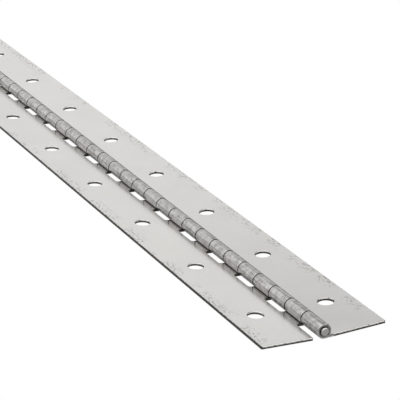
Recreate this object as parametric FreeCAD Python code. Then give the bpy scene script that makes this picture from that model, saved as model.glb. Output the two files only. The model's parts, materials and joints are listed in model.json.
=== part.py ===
import FreeCAD, Part

import math
import os

# Piano hinge: two leaves of rolled sheet steel that turn on one long pin.
#
# Frame: X runs along the pin, towards the end where the outermost knuckle is the right leaf's.
# Y points to the right leaf and Z up. The origin is at mid length, under the pin, on the plane
# that the right leaf lies on. The left leaf rests slightly raised, as the hinge lies when it is
# opened almost flat with its barrel on top.

# Driving dimensions, in millimetres and degrees
KNUCKLE_PITCH = 10.0
KNUCKLES_PER_LEAF = 16
KNUCKLE_GAP = 0.2
LEAF_WIDTH = 20.0
SHEET = 0.9
PIN_DIAMETER = 2.6
PIN_CLEARANCE = 0.08
PIN_STAND_OUT = 0.6
PIN_CHAMFER = 0.3
NOTCH_EDGE = 3.5
NOTCH_CORNER = 0.8
CURL_TIP_GAP = 0.08
HOLE_DIAMETER = 5.0
HOLE_PITCH = 40.0
HOLES_PER_LEAF = 8
HOLE_ROW = 11.4
FIRST_HOLE = 19.7
LEFT_LEAF_RAISED = 4.6

# Sizes that follow from them
KNUCKLES = 2 * KNUCKLES_PER_LEAF
LENGTH = KNUCKLES * KNUCKLE_PITCH
END_X = LENGTH / 2
BORE_RADIUS = PIN_DIAMETER / 2 + PIN_CLEARANCE
BARREL_RADIUS = BORE_RADIUS + SHEET
CURL_TIP_ANGLE = math.asin((BORE_RADIUS - CURL_TIP_GAP) / BARREL_RADIUS)
PIN_HEIGHT = BARREL_RADIUS

RIGHT = 1
LEFT = -1


def section_point(radius, angle, side):
    """A point of the cross-section, by its angle above the horizontal on the leaf's own side."""
    y = side * radius * math.cos(angle)
    z = PIN_HEIGHT + radius * math.sin(angle)
    return FreeCAD.Vector(0, y, z)


def knuckle_section(side):
    """Section of a knuckle: a flat tongue, then the curl that goes under, behind and over the pin."""
    under = -math.pi / 2
    behind = math.pi
    tip = -CURL_TIP_ANGLE
    outer_start = section_point(BARREL_RADIUS, under, side)
    inner_start = section_point(BORE_RADIUS, under, side)
    outer_tip = section_point(BARREL_RADIUS, tip, side)
    inner_tip = section_point(BORE_RADIUS, tip, side)
    tongue_bottom = FreeCAD.Vector(0, side * NOTCH_EDGE, 0)
    tongue_top = FreeCAD.Vector(0, side * NOTCH_EDGE, SHEET)
    outer_curl = Part.Arc(outer_start, section_point(BARREL_RADIUS, behind, side), outer_tip)
    inner_curl = Part.Arc(inner_tip, section_point(BORE_RADIUS, behind, side), inner_start)
    edges = [
        outer_curl.toShape(),
        Part.makeLine(outer_tip, inner_tip),
        inner_curl.toShape(),
        Part.makeLine(inner_start, tongue_top),
        Part.makeLine(tongue_top, tongue_bottom),
        Part.makeLine(tongue_bottom, outer_start),
    ]
    return Part.Face(Part.Wire(edges))


def knuckle_span(place):
    """Where a knuckle starts and ends along the pin. Place 0 is the one at the +X end."""
    end = END_X - place * KNUCKLE_PITCH
    start = end - KNUCKLE_PITCH
    if place > 0:
        end -= KNUCKLE_GAP / 2
    if place < KNUCKLES - 1:
        start += KNUCKLE_GAP / 2
    return start, end


def is_notch_corner(edge):
    """True for the short upright edges where a tongue meets the plate, inside a notch."""
    low, high = edge.BoundBox.ZMin, edge.BoundBox.ZMax
    upright = edge.BoundBox.XLength + edge.BoundBox.YLength < 1e-6 and abs(high - low - SHEET) < 1e-6
    at_root = abs(abs(edge.BoundBox.YMin) - NOTCH_EDGE) < 1e-6
    inside = abs(edge.BoundBox.XMin) < END_X - KNUCKLE_GAP
    return upright and at_root and inside


def make_leaf(side, first_place):
    """A leaf lying on Z = 0: a plate, every second knuckle of the barrel, and a row of screw holes."""
    width = LEAF_WIDTH - NOTCH_EDGE
    low_y = min(side * NOTCH_EDGE, side * LEAF_WIDTH)
    plate = Part.makeBox(LENGTH, width, SHEET, FreeCAD.Vector(-END_X, low_y, 0))
    section = knuckle_section(side)
    knuckles = []
    for place in range(first_place, KNUCKLES, 2):
        start, end = knuckle_span(place)
        knuckle = section.extrude(FreeCAD.Vector(end - start, 0, 0))
        knuckle.translate(FreeCAD.Vector(start, 0, 0))
        knuckles.append(knuckle)
    holes = []
    for number in range(HOLES_PER_LEAF):
        x = END_X - FIRST_HOLE - number * HOLE_PITCH
        below = FreeCAD.Vector(x, side * HOLE_ROW, -SHEET)
        holes.append(Part.makeCylinder(HOLE_DIAMETER / 2, 3 * SHEET, below))
    leaf = plate.fuse(knuckles).removeSplitter().cut(holes)
    corners = [edge for edge in leaf.Edges if is_notch_corner(edge)]
    return leaf.makeFillet(NOTCH_CORNER, corners)


def make_pin():
    """The pin: a straight rod with chamfered ends that stand out of the barrel."""
    length = LENGTH + 2 * PIN_STAND_OUT
    start = FreeCAD.Vector(-length / 2, 0, PIN_HEIGHT)
    along = FreeCAD.Vector(1, 0, 0)
    rod = Part.makeCylinder(PIN_DIAMETER / 2, length, start, along)
    rims = [edge for edge in rod.Edges if edge.Closed]
    return rod.makeChamfer(PIN_CHAMFER, rims)


def save(shape, node):
    """Write one node's STEP file, after a check that it is a single closed solid."""
    if not shape.isValid() or len(shape.Solids) != 1:
        raise RuntimeError(node + " is not one valid solid")
    solid = shape.Solids[0]
    solid.exportStep("parts/" + node + ".step")
    print(node, "volume", round(solid.Volume, 1), "mm3", solid.BoundBox)


os.makedirs("parts", exist_ok=True)
right_leaf = make_leaf(RIGHT, 0)
left_leaf = make_leaf(LEFT, 1)
pin_axis_point = FreeCAD.Vector(0, 0, PIN_HEIGHT)
left_leaf.rotate(pin_axis_point, FreeCAD.Vector(1, 0, 0), -LEFT_LEAF_RAISED)
save(right_leaf, "right_leaf")
save(left_leaf, "left_leaf")
save(make_pin(), "hinge_pin")
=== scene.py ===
"""A piano hinge: two leaves of rolled stainless sheet on one long pin, in a pale studio."""
import json
import math

import bmesh
import bpy
from bpy.props import (
    FloatProperty, FloatVectorProperty, IntProperty, PointerProperty, StringProperty)
from bpy.types import Operator, Panel, PropertyGroup
from mathutils import Matrix, Vector
from mathutils.geometry import delaunay_2d_cdt


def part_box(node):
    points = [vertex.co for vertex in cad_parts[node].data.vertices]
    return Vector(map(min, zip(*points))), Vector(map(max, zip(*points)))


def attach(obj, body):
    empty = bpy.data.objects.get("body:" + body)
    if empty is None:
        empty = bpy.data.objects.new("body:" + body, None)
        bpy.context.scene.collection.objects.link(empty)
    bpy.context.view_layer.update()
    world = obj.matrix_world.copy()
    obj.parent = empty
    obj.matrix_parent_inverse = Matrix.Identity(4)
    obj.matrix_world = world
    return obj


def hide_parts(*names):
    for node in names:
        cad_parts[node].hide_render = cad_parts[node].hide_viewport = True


bl_info = {
    "name": "Piano hinge",
    "version": (1, 0, 0),
    "blender": (4, 5, 0),
    "location": "3D View > Sidebar > Hinge",
    "description": "Builds a rolled-knuckle piano hinge and the studio it is shown in",
    "category": "Object",
}

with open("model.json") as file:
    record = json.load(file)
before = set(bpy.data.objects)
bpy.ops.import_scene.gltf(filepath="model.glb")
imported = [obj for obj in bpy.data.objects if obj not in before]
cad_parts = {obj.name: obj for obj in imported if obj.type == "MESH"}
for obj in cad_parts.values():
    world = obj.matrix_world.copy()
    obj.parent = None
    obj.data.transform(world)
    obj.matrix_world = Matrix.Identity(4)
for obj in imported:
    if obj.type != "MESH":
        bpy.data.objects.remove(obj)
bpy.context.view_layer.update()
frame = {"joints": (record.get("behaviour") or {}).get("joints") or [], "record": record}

# Sizes that the frame gives, in millimetres and degrees
MM = 0.001
JOINT = frame["joints"][0]
LEAF_LOW, LEAF_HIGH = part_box("right_leaf")
PIN_LOW, PIN_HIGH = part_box("hinge_pin")
OUTER_HOLES = next(m for m in frame["record"]["mounts"] if m["name"] == "right_leaf_holes_outer")
LENGTH = (LEAF_HIGH.x - LEAF_LOW.x) / MM
LEAF_WIDTH = LEAF_HIGH.y / MM
BARREL_RADIUS = JOINT["pos_m"][2] / MM
RAISED = 180 + JOINT["range_deg"][0]
HOLE_RADIUS = OUTER_HOLES["dims"]["hole_r_mm"]
HOLE_SPAN = OUTER_HOLES["dims"]["spacing_x_mm"]
HOLE_MIDDLE = OUTER_HOLES["pos_m"][0] / MM
HOLE_ROW = OUTER_HOLES["pos_m"][1] / MM
PIN_RADIUS = (PIN_HIGH.y - PIN_LOW.y) / 2 / MM
PIN_LENGTH = (PIN_HIGH.x - PIN_LOW.x) / MM
PIN_CHAMFER = 0.3

# Points along each kind of curve
CORNER_STEPS = 4
NOTCH_STEPS = 8
CURL_STEPS = 46
HOLE_STEPS = 64
ROUNDING_STEPS = 6
BURR_STEPS = 4
PIN_STEPS = 64


# ------------------------------------------------------------------ properties


class HingeSheet(PropertyGroup):
    """The sheet blank that each leaf is rolled from. Lengths are in millimetres."""

    thickness: FloatProperty(name="Sheet", description="Thickness of the sheet", default=0.9)
    knuckles: IntProperty(name="Knuckles", description="Knuckles on each leaf", default=16)
    knuckle_gap: FloatProperty(
        name="Knuckle gap", description="Between neighbouring knuckles", default=0.4)
    notch_edge: FloatProperty(
        name="Notch edge", description="From the pin's axis to a notch", default=3.5)
    notch_corner: FloatProperty(
        name="Notch corner", description="Radius in a notch's corners", default=0.8)
    leaf_corner: FloatProperty(
        name="Leaf corner", description="Radius on the outer corners", default=0.3)
    edge_round: FloatProperty(
        name="Edge round", description="Roll-over along a sheared edge", default=0.2)
    burr_round: FloatProperty(
        name="Burr round", description="Rounding of the edge's far side", default=0.08)
    tip_gap: FloatProperty(
        name="Tip gap", description="From a curl's tip to its own leaf", default=0.08)
    holes: IntProperty(name="Holes", description="Screw holes in each leaf", default=8)
    ovality: FloatProperty(
        name="Ovality", description="How far a knuckle is from round", default=0.01,
        subtype="FACTOR")
    seed: IntProperty(
        name="Seed", description="Seed for the differences between knuckles", default=7)


class HingeFinish(PropertyGroup):
    """Colours of the bare metal, as sRGB hex."""

    sheet: StringProperty(
        name="Sheet", description="Mill-finish stainless sheet", default="CFCECD")
    tint: StringProperty(
        name="Tint", description="The sheet where it is faintly straw-coloured", default="CFCDCA")
    knuckle: StringProperty(
        name="Knuckles", description="Sheet marked by the rolling tool", default="AFADAB")
    # Cut edge colour: the fractured zone, and painted shade on edge walls, in gaps and seams
    cut_edge_and_shade: StringProperty(
        name="Cut edge", description="Broken zone of a sheared edge", default="4A4845")
    pin: StringProperty(name="Pin", description="Drawn stainless wire", default="A9A8A6")
    # Painted shade: the pin's side takes this dark colour, for the shade round the pin's end
    pin_side_shade: StringProperty(
        name="Pin film", description="Drawing lubricant left on the wire", default="3A3937")


class HingeStage(PropertyGroup):
    """The camera's place, and the softbox over the hinge."""

    aim: FloatVectorProperty(
        name="Aim", description="Point that the camera looks at",
        default=(0.05293, 0.01255, 0.00228), subtype="TRANSLATION", precision=5)
    distance: FloatProperty(
        name="Distance", description="From the aim to the camera", default=0.62725,
        subtype="DISTANCE")
    azimuth: FloatProperty(
        name="Azimuth", description="0 looks along +Y", default=math.radians(65.162),
        subtype="ANGLE")
    elevation: FloatProperty(
        name="Elevation", description="Above the horizon", default=math.radians(22.137),
        subtype="ANGLE")
    roll: FloatProperty(
        name="Roll", description="Turn about the line of sight", default=math.radians(-2.427),
        subtype="ANGLE")
    lens: FloatProperty(
        name="Lens", description="Focal length", default=169.606, subtype="DISTANCE_CAMERA")
    softbox_size: FloatProperty(
        name="Softbox size", description="Side of the softbox", default=0.8, subtype="DISTANCE")
    softbox_power: FloatProperty(
        name="Softbox power", description="Light from the softbox", default=1.0, subtype="POWER")


# --------------------------------------------------------------- small helpers


def linear(hex_colour):
    """An sRGB hex colour as linear RGBA."""
    channels = [int(hex_colour[place:place + 2], 16) / 255 for place in (0, 2, 4)]
    return [c / 12.92 if c <= 0.04045 else ((c + 0.055) / 1.055) ** 2.4 for c in channels] + [1.0]


def add_node(tree, kind, inputs=None, **settings):
    """Add a node, apply its settings, then set or link its inputs, by name or by number."""
    node = tree.nodes.new(kind)
    for name, value in settings.items():
        setattr(node, name, value)
    for key, value in (inputs or {}).items():
        if isinstance(value, bpy.types.NodeSocket):
            tree.links.new(value, node.inputs[key])
        else:
            node.inputs[key].default_value = value
    return node


def mesh_object(name, bm):
    """Turn a bmesh into a linked object."""
    mesh = bpy.data.meshes.new(name)
    bm.to_mesh(mesh)
    bm.free()
    obj = bpy.data.objects.new(name, mesh)
    bpy.context.scene.collection.objects.link(obj)
    return obj


def hand_over(obj, body, node):
    """Give a finished piece to the frame: it rides on a body and stands for a CAD node."""
    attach(obj, body)
    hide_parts(node)


# --------------------------------------------------------------- the flat blank


def arc(x, y, radius, start, end, steps):
    """Points along an arc about (x, y), from one angle to the other, in degrees."""
    angles = [math.radians(start + (end - start) * step / steps) for step in range(steps + 1)]
    return [Vector((x + radius * math.cos(a), y + radius * math.sin(a))) for a in angles]


def inset(points, distance):
    """The outline moved into the metal, which lies on its left."""
    moved = []
    for number, point in enumerate(points):
        before = (point - points[number - 1]).normalized()
        after = (points[(number + 1) % len(points)] - point).normalized()
        normal = Vector((-before.y - after.y, before.x + after.x)).normalized()
        moved.append(point + normal * distance / normal.dot(Vector((-after.y, after.x))))
    return moved


def curl_angle(sheet):
    """How far a knuckle's strip turns about the pin, from right under it to its tip."""
    bore = BARREL_RADIUS - sheet.thickness
    return 1.5 * math.pi + math.asin((bore - sheet.tip_gap) / BARREL_RADIUS)


def tip_place(sheet):
    """Where a strip's tip lies on the flat blank. The bend is measured at mid-thickness."""
    return -curl_angle(sheet) * (BARREL_RADIUS - sheet.thickness / 2)


def blank_outline(sheet):
    """Outline of the blank, with X along the pin and Y away from it: a plate with a strip for
    each knuckle. Also returns the pairs of points that face each other across a strip."""
    half = LENGTH / 2
    pitch = LENGTH / (2 * sheet.knuckles)
    gap = sheet.knuckle_gap / 2
    corner = sheet.leaf_corner
    root = sheet.notch_corner
    top = sheet.notch_edge
    tip = tip_place(sheet)
    rows = [tip * bend / CURL_STEPS for bend in range(CURL_STEPS)]
    # A bend among the points of the tip's rounded corners would cross them
    rows = [y for y in rows if y > tip + 1.5 * corner]

    points = arc(-half + corner, top + corner, corner, 180, 270, CORNER_STEPS)
    pairs = []
    for number in reversed(range(sheet.knuckles)):
        flush = number == 0
        start = half - (2 * number + 1) * pitch + gap
        end = half if flush else half - 2 * number * pitch - gap
        points += arc(start - root, top - root, root, 90, 0, NOTCH_STEPS)
        down = len(points)
        points += [Vector((start, y)) for y in rows]
        points += arc(start + corner, tip + corner, corner, 180, 270, CORNER_STEPS)
        points += arc(end - corner, tip + corner, corner, 270, 360, CORNER_STEPS)
        up = len(points)
        points += [Vector((end, y)) for y in reversed(rows)]
        pairs += [(down + row, up + len(rows) - 1 - row) for row in range(len(rows))]
        if not flush:
            points += arc(end + root, top - root, root, 180, 90, NOTCH_STEPS)
    points += arc(half - corner, LEAF_WIDTH - corner, corner, 0, 90, CORNER_STEPS)
    points += arc(-half + corner, LEAF_WIDTH - corner, corner, 90, 180, CORNER_STEPS)
    return points, pairs


def hole_outline(x, y):
    """Outline of a screw hole. It runs clockwise, so that the metal is on its left."""
    return arc(x, y, HOLE_RADIUS, 0, -360, HOLE_STEPS)[:-1]


def edge_reach(sheet):
    """How far in from a sheared edge its own faces go, to a little past the rounding."""
    return 1.3 * sheet.edge_round


def edge_section(sheet):
    """Section of a sheared edge, from the front round to the back. Each row is an inset, a
    height, and 1 on the cut metal or 0 on the sheet's own skin. The blade rounds the front
    over and shears the rest square, and the back keeps a small rounding."""
    rounding = sheet.edge_round
    burr = sheet.burr_round
    section = [(edge_reach(sheet), sheet.thickness, 0.0)]
    for step in range(ROUNDING_STEPS + 1):
        angle = math.radians(90 * step / ROUNDING_STEPS)
        fall = rounding * (1 - math.cos(angle))
        section.append((rounding * (1 - math.sin(angle)), sheet.thickness - fall, min(step, 1)))
    section.append((0.0, 0.5 * sheet.thickness, 1.0))
    for step in range(BURR_STEPS + 1):
        angle = math.radians(90 * step / BURR_STEPS)
        section.append((burr * (1 - math.cos(angle)), burr * (1 - math.sin(angle)),
                        min(BURR_STEPS - step, 1)))
    section.append((edge_reach(sheet), 0.0, 0.0))
    return section


def add_edge(bm, points, sheet):
    """Build the sheared edge along an outline. Returns its front and its back row of vertices."""
    cut = bm.verts.layers.float["cut"]
    rows = []
    for distance, height, amount in edge_section(sheet):
        row = [bm.verts.new((p.x * MM, p.y * MM, height * MM)) for p in inset(points, distance)]
        for vertex in row:
            vertex[cut] = amount
        rows.append(row)
    for upper, lower in zip(rows, rows[1:]):
        for number in range(len(points)):
            bm.faces.new((upper[number - 1], lower[number - 1], lower[number], upper[number]))
    return rows[0], rows[-1]


def make_blank(sheet):
    """The flat blank: its faces and outer edge, with round openings left for the punched holes."""
    bm = bmesh.new()
    cut = bm.verts.layers.float.new("cut")
    outline, pairs = blank_outline(sheet)
    front, back = add_edge(bm, outline, sheet)
    loops = [list(range(len(front)))]
    for number in range(sheet.holes):
        x = HOLE_MIDDLE - HOLE_SPAN * (number / (sheet.holes - 1) - 0.5)
        ring = inset(hole_outline(x, HOLE_ROW), edge_reach(sheet))
        loops.append(list(range(len(front), len(front) + len(ring))))
        for row, height in ((front, sheet.thickness), (back, 0.0)):
            row += [bm.verts.new((p.x * MM, p.y * MM, height * MM)) for p in ring]
    flat = [Vector((v.co.x / MM, v.co.y / MM)) for v in front]
    _, _, triangles, origins, _, sources = delaunay_2d_cdt(flat, pairs, loops, 0, 1e-6, True)
    same = [group[0] for group in origins]
    # The metal is on the left of every loop, so a triangle that belongs to all of them is metal
    for triangle, source in zip(triangles, sources):
        if len(source) == len(loops):
            a, b, c = (same[place] for place in triangle)
            bm.faces.new((front[a], front[b], front[c]))
            bm.faces.new((back[c], back[b], back[a]))
    return mesh_object("blank", bm)


def make_hole_edge(sheet):
    """The edge of one punched hole, about the origin."""
    bm = bmesh.new()
    bm.verts.layers.float.new("cut")
    add_edge(bm, hole_outline(0, 0), sheet)
    return mesh_object("hole_edge", bm)


# ---------------------------------------------------------- the rolled leaf tree


def add_socket(tree, name, kind, default=None, direction="INPUT"):
    """Add an interface socket to a node tree and return it."""
    socket = tree.interface.new_socket(name, in_out=direction, socket_type=kind)
    if default is not None:
        socket.default_value = default
    return socket


def leaf_tree():
    """Geometry Nodes that turn the flat blank into a leaf: weld in the row of punched edges, roll
    each strip round the pin, then turn the leaf end for end and raise it about the pin."""
    tree = bpy.data.node_groups.new("Rolled leaf", "GeometryNodeTree")
    add_socket(tree, "Blank", "NodeSocketGeometry")
    add_socket(tree, "Hole edge", "NodeSocketObject")
    add_socket(tree, "Holes", "NodeSocketInt", 8)
    add_socket(tree, "First hole", "NodeSocketVector")
    add_socket(tree, "Hole pitch", "NodeSocketFloat", 0.04)
    add_socket(tree, "Barrel radius", "NodeSocketFloat", 0.0023)
    add_socket(tree, "Bend radius", "NodeSocketFloat", 0.0018)
    add_socket(tree, "Knuckle pitch", "NodeSocketFloat", 0.02)
    add_socket(tree, "Ovality", "NodeSocketFloat", 0.01)
    add_socket(tree, "Seed", "NodeSocketInt", 0)
    add_socket(tree, "End for end", "NodeSocketFloat", 0.0)
    add_socket(tree, "Raised", "NodeSocketFloat", 0.0)
    add_socket(tree, "Metal", "NodeSocketMaterial")
    add_socket(tree, "Leaf", "NodeSocketGeometry", direction="OUTPUT")
    given = add_node(tree, "NodeGroupInput").outputs

    def maths(operation, first, second=0.0):
        node = add_node(tree, "ShaderNodeMath", {0: first, 1: second}, operation=operation)
        return node.outputs[0]

    def vector(**axes):
        return add_node(tree, "ShaderNodeCombineXYZ", axes).outputs[0]

    # A row of punched edges, welded into the openings
    punched = add_node(tree, "GeometryNodeObjectInfo", {"Object": given["Hole edge"]})
    line = add_node(tree, "GeometryNodeMeshLine", {
        "Count": given["Holes"], "Start Location": given["First hole"],
        "Offset": vector(X=maths("MULTIPLY", given["Hole pitch"], -1.0))})
    row = add_node(tree, "GeometryNodeInstanceOnPoints", {
        "Points": line.outputs[0], "Instance": punched.outputs["Geometry"]})
    real = add_node(tree, "GeometryNodeRealizeInstances", {0: row.outputs[0]})
    joined = add_node(tree, "GeometryNodeJoinGeometry")
    tree.links.new(given["Blank"], joined.inputs[0])
    tree.links.new(real.outputs[0], joined.inputs[0])
    welded = add_node(tree, "GeometryNodeMergeByDistance", {
        "Geometry": joined.outputs[0], "Distance": 0.001 * MM})

    # The flat place of every point is kept, so that the finish can follow the sheet
    place = add_node(tree, "GeometryNodeInputPosition").outputs[0]
    placed = add_node(tree, "GeometryNodeStoreNamedAttribute", {
        "Geometry": welded.outputs[0], "Name": "sheet", "Value": place},
        data_type="FLOAT_VECTOR", domain="POINT")
    kept = add_node(tree, "GeometryNodeStoreNamedAttribute", {
        "Geometry": placed.outputs[0], "Name": "leaf", "Value": given["Seed"]},
        data_type="FLOAT", domain="POINT")

    # Roll: what lies past the pin is wound round it, a little oval and different in each knuckle
    flat = add_node(tree, "ShaderNodeSeparateXYZ", {0: place}).outputs
    past = maths("MAXIMUM", maths("MULTIPLY", flat["Y"], -1.0), 0.0)
    wound = maths("DIVIDE", past, given["Bend radius"])
    knuckle = maths("FLOOR", maths("DIVIDE", flat["X"], given["Knuckle pitch"]))
    random = add_node(tree, "FunctionNodeRandomValue", {
        2: 0.2, "ID": knuckle, "Seed": given["Seed"]}, data_type="FLOAT")
    oval = maths("MULTIPLY", random.outputs[1], given["Ovality"])
    twice = maths("COSINE", maths("MULTIPLY", wound, 2.0))
    dent = maths("MULTIPLY", oval, maths("SUBTRACT", twice, 1.0))
    round_radius = maths("SUBTRACT", given["Barrel radius"], flat["Z"])
    radius = maths("MULTIPLY", round_radius, maths("ADD", dent, 1.0))
    sideways = maths("MULTIPLY", radius, maths("SINE", wound))
    upwards = maths("MULTIPLY", radius, maths("COSINE", wound))
    curled = add_node(tree, "GeometryNodeSetPosition", {
        "Geometry": kept.outputs[0],
        "Position": vector(
            X=flat["X"],
            Y=maths("SUBTRACT", maths("MAXIMUM", flat["Y"], 0.0), sideways),
            Z=maths("SUBTRACT", given["Barrel radius"], upwards))})

    # Turn end for end, then raise about the pin
    turned = add_node(tree, "GeometryNodeTransform", {
        "Geometry": curled.outputs[0], "Rotation": vector(Z=given["End for end"])})
    centred = add_node(tree, "GeometryNodeTransform", {
        "Geometry": turned.outputs[0],
        "Translation": vector(Z=maths("MULTIPLY", given["Barrel radius"], -1.0))})
    raised = add_node(tree, "GeometryNodeTransform", {
        "Geometry": centred.outputs[0], "Translation": vector(Z=given["Barrel radius"]),
        "Rotation": vector(X=maths("MULTIPLY", given["Raised"], -1.0))})
    smooth = add_node(tree, "GeometryNodeSetShadeSmooth", {"Geometry": raised.outputs[0]})
    whole = add_node(tree, "GeometryNodeRealizeInstances", {0: smooth.outputs[0]})
    metal = add_node(tree, "GeometryNodeSetMaterial", {
        "Geometry": whole.outputs[0], "Material": given["Metal"]})
    add_node(tree, "NodeGroupOutput", {0: metal.outputs[0]})
    return tree


def apply_tree(obj, tree, values):
    """Run a tree on an object with the given inputs and keep the result as its plain mesh."""
    modifier = obj.modifiers.new("Nodes", "NODES")
    modifier.node_group = tree
    for item in tree.interface.items_tree:
        if item.in_out == "INPUT" and item.name in values:
            modifier[item.identifier] = values[item.name]
    bpy.context.view_layer.update()
    graph = bpy.context.evaluated_depsgraph_get()
    mesh = bpy.data.meshes.new_from_object(obj.evaluated_get(graph))
    obj.modifiers.remove(modifier)
    obj.data = mesh
    mesh.name = obj.name


def make_leaf(name, sheet, metal, seed, end_for_end, raised):
    """Roll one leaf from its blank."""
    leaf = make_blank(sheet)
    hole_edge = make_hole_edge(sheet)
    leaf.name = name
    pitch = HOLE_SPAN / (sheet.holes - 1)
    first = HOLE_MIDDLE + HOLE_SPAN / 2
    apply_tree(leaf, leaf_tree(), {
        "Hole edge": hole_edge,
        "Holes": sheet.holes,
        "First hole": (first * MM, HOLE_ROW * MM, 0.0),
        "Hole pitch": pitch * MM,
        "Barrel radius": BARREL_RADIUS * MM,
        "Bend radius": (BARREL_RADIUS - sheet.thickness / 2) * MM,
        "Knuckle pitch": LENGTH / sheet.knuckles * MM,
        "Ovality": sheet.ovality,
        "Seed": seed,
        "End for end": math.radians(end_for_end),
        "Raised": math.radians(raised),
        "Metal": metal,
    })
    bpy.data.objects.remove(hole_edge)
    return leaf


# -------------------------------------------------------------------- materials


def stainless_sheet(finish, pitch, tip):
    """Cold-rolled stainless sheet with the mill's satin finish: a soft grey mirror, cloudy close
    up, with faint straight grain along the mill's rolling direction. The knuckles are duller and
    blotched where the rolling tool pressed them. The cut edges are bright, then dark: partly a
    rough fractured zone and partly painted shade. Painted shade also darkens the gaps between
    knuckles, the seam under each knuckle's tip and a line along the barrel's shoulder.
    Places are in millimetres on the flat blank: along the pin, across from it, and up."""
    metal = bpy.data.materials.new("Stainless sheet, mill finish")
    metal.use_nodes = True
    tree = metal.node_tree
    tree.nodes.clear()

    def maths(operation, first, second=0.0, clamp=False):
        node = add_node(
            tree, "ShaderNodeMath", {0: first, 1: second}, operation=operation, use_clamp=clamp)
        return node.outputs[0]

    def add(first, second):
        return maths("ADD", first, second)

    def less(first, second):
        return maths("SUBTRACT", first, second)

    def times(first, second):
        return maths("MULTIPLY", first, second)

    def swing(value, amount):
        """A noise value turned about its middle: up to half the amount either way."""
        return times(less(value, 0.5), amount)

    def ramp(value, low, high):
        """From 0 at the first place to 1 at the second, with soft ends."""
        return add_node(tree, "ShaderNodeMapRange", {0: value, 1: low, 2: high},
                        interpolation_type="SMOOTHSTEP").outputs[0]

    def millimetres(metres):
        return add_node(tree, "ShaderNodeVectorMath", {0: metres, "Scale": 1.0 / MM},
                        operation="SCALE").outputs[0]

    def noise(per_mm, detail=3.0, stretch=(1.0, 1.0, 1.0)):
        scaled = add_node(tree, "ShaderNodeVectorMath", {
            0: own_place, 1: [per_mm * axis for axis in stretch]}, operation="MULTIPLY")
        return add_node(tree, "ShaderNodeTexNoise", {
            "Vector": scaled.outputs[0], "Scale": 1.0, "Detail": detail}).outputs["Fac"]

    def mix(amount, first, second):
        node = add_node(tree, "ShaderNodeMix", {0: amount, 6: first, 7: second}, data_type="RGBA")
        return node.outputs[2]

    sheet = add_node(tree, "ShaderNodeAttribute", attribute_name="sheet")
    place = millimetres(sheet.outputs["Vector"])
    along, across, height = add_node(tree, "ShaderNodeSeparateXYZ", {0: place}).outputs
    cut = add_node(tree, "ShaderNodeAttribute", attribute_name="cut").outputs["Fac"]
    # Each leaf has its own noise, as if the two were cut from sheets 37 mm apart in a stack
    leaf = add_node(tree, "ShaderNodeAttribute", attribute_name="leaf").outputs["Fac"]
    apart = add_node(tree, "ShaderNodeCombineXYZ", {"Z": times(leaf, 37.0)}).outputs[0]
    own_place = add_node(
        tree, "ShaderNodeVectorMath", {0: place, 1: apart}, operation="ADD").outputs[0]

    # Marks of the mill and of the rolling tool. The tool works the strips from just before the pin
    worked = ramp(across, 1.2, -0.6)
    cloud = noise(0.05, 2.0)
    haze = noise(0.6, 4.0)
    # Mill grain is about 0.05 mm wide; it is drawn at 0.3 mm to show at all
    grain = noise(3.0, 2.0, (0.012, 1.0, 1.0))
    blotch = noise(0.75, 3.0, (0.8, 1.0, 1.0))
    streak = noise(1.6, 2.0, (0.12, 1.0, 1.0))
    tone = add(add(1.0, swing(cloud, 0.12)), swing(grain, 0.03))
    tone = add(tone, times(add(swing(blotch, 1.35), swing(streak, 0.5)), worked))

    # Scuffs from handling: small flecks in scattered patches, in the last 5 mm by the long edge
    fleck = ramp(noise(1.3, 2.0, (0.6, 1.0, 1.0)), 0.52, 0.58)
    patch = ramp(noise(0.11, 1.0), 0.46, 0.54)
    handled = times(times(fleck, patch), ramp(across, LEAF_WIDTH - 5.0, LEAF_WIDTH - 1.0))
    tone = less(tone, times(handled, 0.38))

    # The blade shears the top of an edge bright and the rest breaks away rough. The dark colour
    # below is partly that fractured zone and partly painted shade on the edge walls. The long edges
    # are slit in the mill, and their dark zone reaches nearly to the top
    slit = ramp(across, LEAF_WIDTH - 0.45, LEAF_WIDTH - 0.25)
    broken_line = add(height, swing(noise(1.3), 0.6))
    plate_fractured_and_shaded = ramp(less(broken_line, times(slit, 0.38)), 0.58, 0.48)
    nick = times(ramp(noise(0.8, 2.0), 0.60, 0.64), 0.8)
    plate_fractured_and_shaded = maths("MAXIMUM", plate_fractured_and_shaded, nick)

    # Knuckle ends are trimmed clean at the hinge's two ends. Between knuckles their end walls
    # are painted dark almost from the rim: painted shade in the gaps
    trimmed = ramp(maths("ABSOLUTE", along), LENGTH / 2 - 0.6, LENGTH / 2 - 0.4)
    painted_gap_shade = ramp(height, 0.0, 0.03)
    clean = times(ramp(broken_line, 0.10, 0.50), 0.7)
    knuckle_fractured_and_shaded = add(painted_gap_shade, times(less(clean, painted_gap_shade), trimmed))
    in_strip = ramp(across, 3.4, 2.6)
    fractured_and_shaded = add(plate_fractured_and_shaded, times(less(knuckle_fractured_and_shaded, plate_fractured_and_shaded), in_strip))
    fractured_and_shaded = maths("MULTIPLY", fractured_and_shaded, cut, clamp=True)

    # Painted shade in the seam under each knuckle's tip, and on the tip itself
    under_tip = times(ramp(across, 2.45, 2.15), ramp(across, -1.0, 0.0))
    painted_crease_shade = times(under_tip, ramp(height, 0.6, 0.8))
    painted_crease_shade = maths("MAXIMUM", painted_crease_shade, ramp(across, tip + 0.45, tip + 0.25))
    fractured_and_shaded = maths("MAXIMUM", fractured_and_shaded, times(painted_crease_shade, 0.5))

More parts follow.
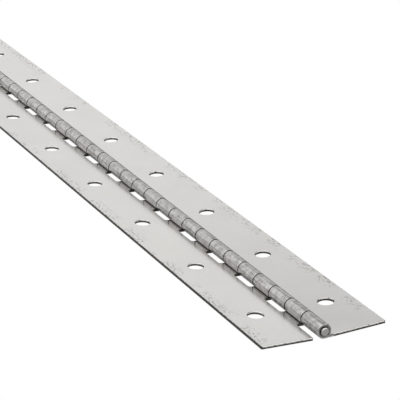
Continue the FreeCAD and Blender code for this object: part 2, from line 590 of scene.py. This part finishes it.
    # Painted shade: a thin dark line along the barrel's shoulder, between 3.8 mm and 4.3 mm up on
    # the right leaf's side, stands in for the shade at the barrel's far edge. It is also made dull
    # and not metallic, so that it shows no metallic shine
    seat = millimetres(add_node(tree, "ShaderNodeTexCoord").outputs["Object"])
    _, aside, above = add_node(tree, "ShaderNodeSeparateXYZ", {0: seat}).outputs
    shoulder = times(ramp(above, 3.7, 3.9), ramp(above, 4.40, 4.25))
    painted_shoulder_shade = times(times(shoulder, ramp(aside, 0.4, 0.8)), worked)
    tone = times(tone, less(1.0, times(painted_shoulder_shade, 0.7)))

    straw = ramp(noise(0.07, 1.0), 0.40, 0.60)
    colour = mix(straw, linear(finish.sheet), linear(finish.tint))
    colour = mix(worked, colour, linear(finish.knuckle))
    colour = add_node(
        tree, "ShaderNodeVectorMath", {0: colour, "Scale": tone}, operation="SCALE").outputs[0]
    # Dark edge colour: the fractured zone, and the painted shade in gaps and seams
    colour = mix(fractured_and_shaded, colour, linear(finish.cut_edge_and_shade))

    rough = add(add(0.19, swing(haze, 0.06)), times(worked, 0.09))
    # Roughness also rises on the dark edge zones and on the painted shoulder shade
    rough = add(add(rough, times(fractured_and_shaded, 0.25)), times(painted_shoulder_shade, 0.4))

    # Relief is in millimetres
    relief = add(times(grain, 0.0006), times(cloud, 0.02))
    relief = add(relief, times(times(blotch, worked), 0.06))
    relief = add(relief, times(times(streak, worked), 0.02))
    relief = add(relief, times(times(noise(5.0), fractured_and_shaded), 0.04))
    # The rolling tool leaves each knuckle a little smaller towards its ends
    middle = LENGTH / 2 - pitch / 4
    wrapped = add_node(tree, "ShaderNodeMath", {
        0: along, 1: middle + pitch / 2, 2: middle - pitch / 2}, operation="WRAP").outputs[0]
    from_middle = maths("ABSOLUTE", less(wrapped, middle))
    crown = maths("POWER", maths("DIVIDE", from_middle, pitch / 4), 6.0)
    relief = less(relief, times(times(crown, worked), 0.16))
    bump = add_node(tree, "ShaderNodeBump", {"Height": relief, "Distance": MM, "Strength": 1.0})

    # The painted shoulder shade also turns the metallic value down
    shader = add_node(tree, "ShaderNodeBsdfPrincipled", {
        "Base Color": colour, "Metallic": less(1.0, times(painted_shoulder_shade, 0.9)), "Roughness": rough,
        "Normal": bump.outputs[0]})
    add_node(tree, "ShaderNodeOutputMaterial", {0: shader.outputs[0]})
    return metal


def drawn_wire(finish):
    """Drawn stainless wire, cut to length: fine lines along it, its side painted dark as shade
    round the pin's end, and a bright sawn end with a small chamfer. Noise scales are per metre."""
    metal = bpy.data.materials.new("Drawn stainless wire")
    metal.use_nodes = True
    tree = metal.node_tree
    tree.nodes.clear()

    def map_range(value, low, high, to_low=0.0, to_high=1.0):
        node = add_node(
            tree, "ShaderNodeMapRange", {0: value, 1: low, 2: high, 3: to_low, 4: to_high})
        return node.outputs[0]

    place = add_node(tree, "ShaderNodeTexCoord").outputs["Object"]
    stretched = add_node(
        tree, "ShaderNodeMapping", {"Vector": place, "Scale": (150.0, 4000.0, 4000.0)})
    lines = add_node(tree, "ShaderNodeTexNoise", {
        "Vector": stretched.outputs[0], "Scale": 1.0, "Detail": 2.0}).outputs["Fac"]
    speckle = add_node(tree, "ShaderNodeTexNoise", {
        "Vector": place, "Scale": 2500.0, "Detail": 3.0}).outputs["Fac"]
    along = add_node(tree, "ShaderNodeSeparateXYZ", {0: place}).outputs["X"]
    from_middle = add_node(tree, "ShaderNodeMath", {0: along}, operation="ABSOLUTE").outputs[0]
    # The painted shade stops at the chamfer, which keeps the wire's own colour like the sawn end
    half = PIN_LENGTH / 2
    sawn = map_range(
        from_middle, (half - PIN_CHAMFER - 0.02) * MM, (half - PIN_CHAMFER + 0.02) * MM)
    pin_side_shade = add_node(tree, "ShaderNodeMix", {
        0: sawn, 6: linear(finish.pin_side_shade), 7: linear(finish.pin)}, data_type="RGBA").outputs[2]
    colour = add_node(tree, "ShaderNodeVectorMath", {
        0: pin_side_shade, "Scale": map_range(lines, 0.3, 0.7, 0.92, 1.05)}, operation="SCALE")
    bump = add_node(tree, "ShaderNodeBump", {"Height": speckle, "Distance": 0.03 * MM})
    shader = add_node(tree, "ShaderNodeBsdfPrincipled", {
        "Base Color": colour.outputs[0], "Metallic": 1.0,
        "Roughness": map_range(speckle, 0.3, 0.7, 0.30, 0.45), "Normal": bump.outputs[0]})
    add_node(tree, "ShaderNodeOutputMaterial", {0: shader.outputs[0]})
    return metal


# -------------------------------------------------------------------- operators


class HINGE_OT_leaves(Operator):
    """Roll both leaves from their blanks"""

    bl_idname = "hinge.leaves"
    bl_label = "Roll the leaves"

    def execute(self, context):
        sheet = context.scene.hinge_sheet
        pitch = LENGTH / sheet.knuckles
        metal = stainless_sheet(context.scene.hinge_finish, pitch, tip_place(sheet))
        right = make_leaf("right_leaf_rolled", sheet, metal, sheet.seed, 0.0, 0.0)
        left = make_leaf("left_leaf_rolled", sheet, metal, sheet.seed + 1, 180.0, RAISED)
        hand_over(right, "right_side", "right_leaf")
        hand_over(left, "left_side", "left_leaf")
        return {"FINISHED"}


class HINGE_OT_pin(Operator):
    """Turn the pin, with chamfered ends"""

    bl_idname = "hinge.pin"
    bl_label = "Make the pin"

    def execute(self, context):
        bm = bmesh.new()
        half = PIN_LENGTH / 2
        shoulder = half - PIN_CHAMFER
        face = PIN_RADIUS - PIN_CHAMFER
        # Half of the pin's section: the sawn face, the chamfer with both its edges eased, the side
        profile = [
            (half, 0.0), (half, 0.5), (half, face - 0.08),
            (half - 0.01, face), (half - 0.05, face + 0.05),
            (shoulder + 0.04, PIN_RADIUS - 0.04), (shoulder - 0.02, PIN_RADIUS),
            (shoulder - 0.1, PIN_RADIUS), (half - 2.0, PIN_RADIUS)]
        profile += [(-x, radius) for x, radius in reversed(profile)]
        rings = []
        for x, radius in profile:
            # A point on the axis is the middle of a sawn face
            turns = PIN_STEPS if radius else 1
            angles = [2 * math.pi * step / PIN_STEPS for step in range(turns)]
            rings.append([bm.verts.new((
                x * MM, radius * math.sin(angle) * MM,
                (BARREL_RADIUS + radius * math.cos(angle)) * MM)) for angle in angles])
        for ring, following in zip(rings, rings[1:]):
            for step in range(PIN_STEPS):
                corners = [
                    ring[step % len(ring)], ring[(step + 1) % len(ring)],
                    following[(step + 1) % len(following)], following[step % len(following)]]
                side = bm.faces.new(list(dict.fromkeys(corners)))
                side.smooth = True
        pin = mesh_object("pin_rod", bm)
        pin.data.materials.append(drawn_wire(context.scene.hinge_finish))
        hand_over(pin, "right_side", "hinge_pin")
        return {"FINISHED"}


class HINGE_OT_stage(Operator):
    """Set up the floor, the light and the camera"""

    bl_idname = "hinge.stage"
    bl_label = "Set the stage"

    def execute(self, context):
        scene = context.scene
        self.make_floor(scene)
        self.make_world(scene)
        self.make_softbox(scene)
        self.make_camera(scene)
        scene.view_settings.view_transform = "Standard"
        return {"FINISHED"}

    def seen_as_white(self, tree, unseen, seen_kind, output_kind):
        """Let the camera see plain white, and everything else the given shader."""
        rays = add_node(tree, "ShaderNodeLightPath")
        seen = add_node(tree, seen_kind, {"Color": (1.0, 1.0, 1.0, 1.0), "Strength": 1.0})
        both = add_node(tree, "ShaderNodeMixShader", {
            0: rays.outputs["Is Camera Ray"], 1: unseen.outputs[0], 2: seen.outputs[0]})
        add_node(tree, output_kind, {0: both.outputs[0]})

    def make_floor(self, scene):
        """White paper that throws back half the light it gets. It lies a leaf's width below the
        hinge, so that the left leaf can hang straight down above it when it is opened past flat."""
        bm = bmesh.new()
        bmesh.ops.create_grid(bm, x_segments=1, y_segments=1, size=6.0)
        floor = mesh_object("studio_floor", bm)
        floor.location.z = -LEAF_WIDTH * MM
        paper = bpy.data.materials.new("White studio paper")
        paper.use_nodes = True
        tree = paper.node_tree
        tree.nodes.clear()
        matt = add_node(tree, "ShaderNodeBsdfDiffuse", {"Color": (0.5, 0.5, 0.5, 1.0)})
        self.seen_as_white(tree, matt, "ShaderNodeEmission", "ShaderNodeOutputMaterial")
        floor.data.materials.append(paper)

    def make_world(self, scene):
        """Soft light all round, brighter and darker with height: one wall beyond the right leaf,
        one beyond the left, and one behind whoever looks from the pin's near end. Each stop is
        the height of a direction, 0 level and 1 straight up, and how bright the wall is there."""
        world = bpy.data.worlds.new("Studio")
        world.use_nodes = True
        tree = world.node_tree
        tree.nodes.clear()
        way = add_node(tree, "ShaderNodeTexCoord").outputs["Generated"]
        _, side, height = add_node(tree, "ShaderNodeSeparateXYZ", {0: way}).outputs
        right_wall = self.level_ramp(tree, height, [
            (0.0, 0.05), (0.1, 0.1), (0.2, 1.1), (0.28, 0.98),
            (0.36, 1.19), (0.44, 0.90), (0.6, 0.15), (1.0, 0.3)])
        left_wall = self.level_ramp(tree, height, [
            (0.0, 0.05), (0.1, 0.8), (0.2, 1.26), (0.28, 1.3), (0.36, 1.12),
            (0.44, 0.88), (0.6, 1.15), (0.85, 1.5), (1.0, 0.85)])
        near_wall = self.level_ramp(tree, height, [
            (0.0, 0.35), (0.3, 0.73), (0.6, 2.05), (0.85, 2.4), (1.0, 0.85)])
        leftness = add_node(tree, "ShaderNodeMapRange", {
            0: side, 1: 0.38, 2: 0.05}, interpolation_type="SMOOTHSTEP")
        to_far_end = add_node(tree, "ShaderNodeVectorMath", {
            0: way, 1: (-0.907, 0.42, 0.0)}, operation="DOT_PRODUCT")
        nearness = add_node(tree, "ShaderNodeMapRange", {
            0: to_far_end.outputs["Value"], 1: 0.4, 2: 0.05}, interpolation_type="SMOOTHSTEP")
        far_walls = add_node(
            tree, "ShaderNodeMix", {0: leftness.outputs[0], 2: right_wall, 3: left_wall})
        level = add_node(
            tree, "ShaderNodeMix", {0: nearness.outputs[0], 2: far_walls.outputs[0], 3: near_wall})
        studio = add_node(tree, "ShaderNodeBackground", {
            "Color": (1.0, 1.0, 1.0, 1.0), "Strength": level.outputs[0]})
        self.seen_as_white(tree, studio, "ShaderNodeBackground", "ShaderNodeOutputWorld")
        scene.world = world

    def level_ramp(self, tree, value, stops):
        """A grey ramp through (place, level) stops."""
        ramp = add_node(tree, "ShaderNodeValToRGB", {0: value})
        elements = ramp.color_ramp.elements
        while len(elements) < len(stops):
            elements.new(0.5)
        for element, (place, level) in zip(elements, stops):
            element.position = place
            element.color = (level, level, level, 1.0)
        return ramp.outputs[0]

    def make_softbox(self, scene):
        light = bpy.data.lights.new("overhead_softbox", "AREA")
        light.energy = scene.hinge_stage.softbox_power
        light.size = scene.hinge_stage.softbox_size
        softbox = bpy.data.objects.new("overhead_softbox", light)
        softbox.location = (0.3, -0.2, 1.0)
        to_hinge = -softbox.location
        softbox.rotation_euler = to_hinge.to_track_quat("-Z", "Y").to_euler()
        scene.collection.objects.link(softbox)

    def make_camera(self, scene):
        stage = scene.hinge_stage
        level_reach = math.cos(stage.elevation)
        outward = Vector((
            level_reach * math.sin(stage.azimuth), -level_reach * math.cos(stage.azimuth),
            math.sin(stage.elevation)))
        data = bpy.data.cameras.new("camera")
        data.lens = stage.lens
        data.clip_start = 0.01
        camera = bpy.data.objects.new("camera", data)
        camera.location = Vector(stage.aim) + outward * stage.distance
        level = outward.to_track_quat("Z", "Y").to_matrix()
        camera.rotation_euler = (level @ Matrix.Rotation(stage.roll, 3, "Z")).to_euler()
        scene.collection.objects.link(camera)
        scene.camera = camera


class HINGE_PT_panel(Panel):
    """Sizes, finishes and the buttons that build the hinge"""

    bl_label = "Piano hinge"
    bl_idname = "HINGE_PT_panel"
    bl_space_type = "VIEW_3D"
    bl_region_type = "UI"
    bl_category = "Hinge"

    def draw(self, context):
        for title in GROUPS:
            group = getattr(context.scene, title)
            box = self.layout.box()
            for name in group.bl_rna.properties.keys():
                if name not in ("rna_type", "name"):
                    box.prop(group, name)
        for operator in OPERATORS:
            self.layout.operator(operator.bl_idname)


OPERATORS = (HINGE_OT_leaves, HINGE_OT_pin, HINGE_OT_stage)
GROUPS = {"hinge_sheet": HingeSheet, "hinge_finish": HingeFinish, "hinge_stage": HingeStage}


def register():
    for item in (*GROUPS.values(), *OPERATORS, HINGE_PT_panel):
        bpy.utils.register_class(item)
    for name, group in GROUPS.items():
        setattr(bpy.types.Scene, name, PointerProperty(type=group))


def unregister():
    for name in GROUPS:
        delattr(bpy.types.Scene, name)
    for item in (HINGE_PT_panel, *reversed(OPERATORS), *reversed(list(GROUPS.values()))):
        bpy.utils.unregister_class(item)


def main():
    register()
    bpy.ops.hinge.leaves()
    bpy.ops.hinge.pin()
    bpy.ops.hinge.stage()


if __name__ == "__main__":
    main()
